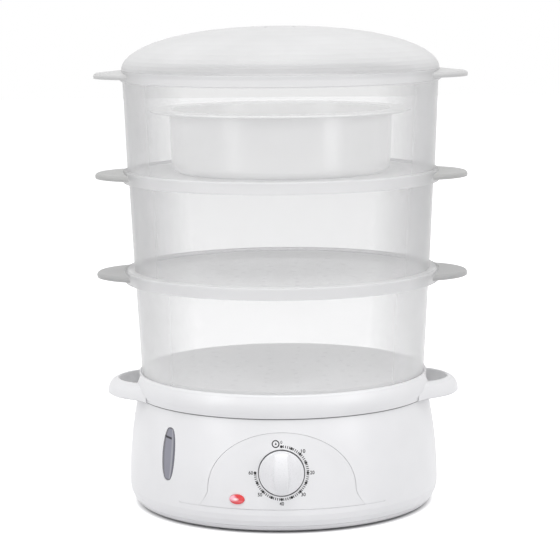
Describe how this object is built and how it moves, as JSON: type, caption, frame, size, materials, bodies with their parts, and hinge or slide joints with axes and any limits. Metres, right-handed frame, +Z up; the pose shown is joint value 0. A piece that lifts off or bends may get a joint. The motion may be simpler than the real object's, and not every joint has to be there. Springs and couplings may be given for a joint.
{
  "type": "electric food steamer",
  "caption": "Electric food steamer: round base with tank, heater and timer, drip tray with filling spouts, stacked translucent baskets, rice bowl and domed lid.",
  "frame": {"origin": "on the ground under the centre of the base, between the feet", "axes": "+Z up through the stacked tiers, front with the timer knob towards -Y, handles along +X and -X"},
  "size_m": [0.3, 0.2708, 0.385],
  "materials": {
    "body_white": "satin",
    "knob_white": "satin",
    "tank_plastic": "satin",
    "basket_clear": "frosted",
    "lid_clear": "frosted",
    "bowl_white": "satin",
    "gauge_clear": "clear",
    "lens_red": "clear",
    "lamp_glass": "clear",
    "inner_plastic": "matt",
    "rubber_grey": "matt",
    "seal_rubber": "matt",
    "gland_rubber": "matt",
    "steel": "brushed",
    "brass": "turned",
    "wire_brown": "matt",
    "wire_blue": "matt",
    "wire_grey": "matt"
  },
  "bodies": {
    "base": {"base_housing": "body_white", "bottom_plate": "body_white", "rubber_feet": "rubber_grey", "plate_screws": "steel", "control_panel": "body_white", "water_gauge": "gauge_clear", "gauge_seal": "seal_rubber", "pilot_lens": "lens_red", "neon_lamp": "lamp_glass", "lamp_holder": "inner_plastic", "water_tank": "tank_plastic", "heating_element": "steel", "heater_bushes": "brass", "heater_seals": "seal_rubber", "heater_nuts": "brass", "thermostat": "inner_plastic", "thermostat_screws": "steel", "thermal_fuse": "steel", "terminal_block": "inner_plastic", "cord_gland": "gland_rubber", "supply_lead": "wire_brown", "heater_lead": "wire_brown", "return_lead": "wire_blue", "thermostat_lead": "wire_blue", "lamp_leads": "wire_grey", "timer_case": "inner_plastic", "timer_cover": "steel", "timer_contacts": "brass", "timer_bell": "steel", "timer_screws": "steel"},
    "knob": {"timer_knob": "knob_white", "timer_shaft": "brass", "timer_gear": "brass", "timer_cam": "inner_plastic"},
    "clockwork": {"timer_pinion": "brass"},
    "steam_ring": {"steam_ring": "tank_plastic"},
    "drip_tray": {"drip_tray": "body_white"},
    "basket_low": {"basket_low": "basket_clear"},
    "basket_mid": {"basket_mid": "basket_clear"},
    "basket_top": {"basket_top": "basket_clear"},
    "rice_bowl": {"rice_bowl": "bowl_white"},
    "lid": {"lid": "lid_clear"}
  },
  "joints": [
    {"name": "timer_turn", "type": "hinge", "parent": "base", "child": "knob", "pos_m": [0, -0.12, 0.0485], "axis": [0, 1, 0], "range_deg": [0, 270]},
    {"name": "pinion_spin", "type": "hinge", "parent": "base", "child": "clockwork", "pos_m": [0.01039, -0.103, 0.05889], "axis": [0, 1, 0], "range_deg": [-864, 0]},
    {"name": "steam_ring_lift", "type": "slide", "parent": "base", "child": "steam_ring", "axis": [0, 0, 1], "range_m": [0, 0.06]},
    {"name": "drip_tray_lift", "type": "slide", "parent": "steam_ring", "child": "drip_tray", "axis": [0, 0, 1], "range_m": [0, 0.04]},
    {"name": "basket_low_lift", "type": "slide", "parent": "drip_tray", "child": "basket_low", "axis": [0, 0, 1], "range_m": [0, 0.06]},
    {"name": "basket_mid_lift", "type": "slide", "parent": "basket_low", "child": "basket_mid", "axis": [0, 0, 1], "range_m": [0, 0.06]},
    {"name": "basket_top_lift", "type": "slide", "parent": "basket_mid", "child": "basket_top", "axis": [0, 0, 1], "range_m": [0, 0.06]},
    {"name": "rice_bowl_lift", "type": "slide", "parent": "basket_top", "child": "rice_bowl", "axis": [0, 0, 1], "range_m": [0, 0.1]},
    {"name": "lid_lift", "type": "slide", "parent": "rice_bowl", "child": "lid", "axis": [0, 0, 1], "range_m": [0, 0.06]}
  ],
  "couplings": [
    {"joint": "pinion_spin", "follows": "timer_turn", "ratio": -3.2}
  ]
}
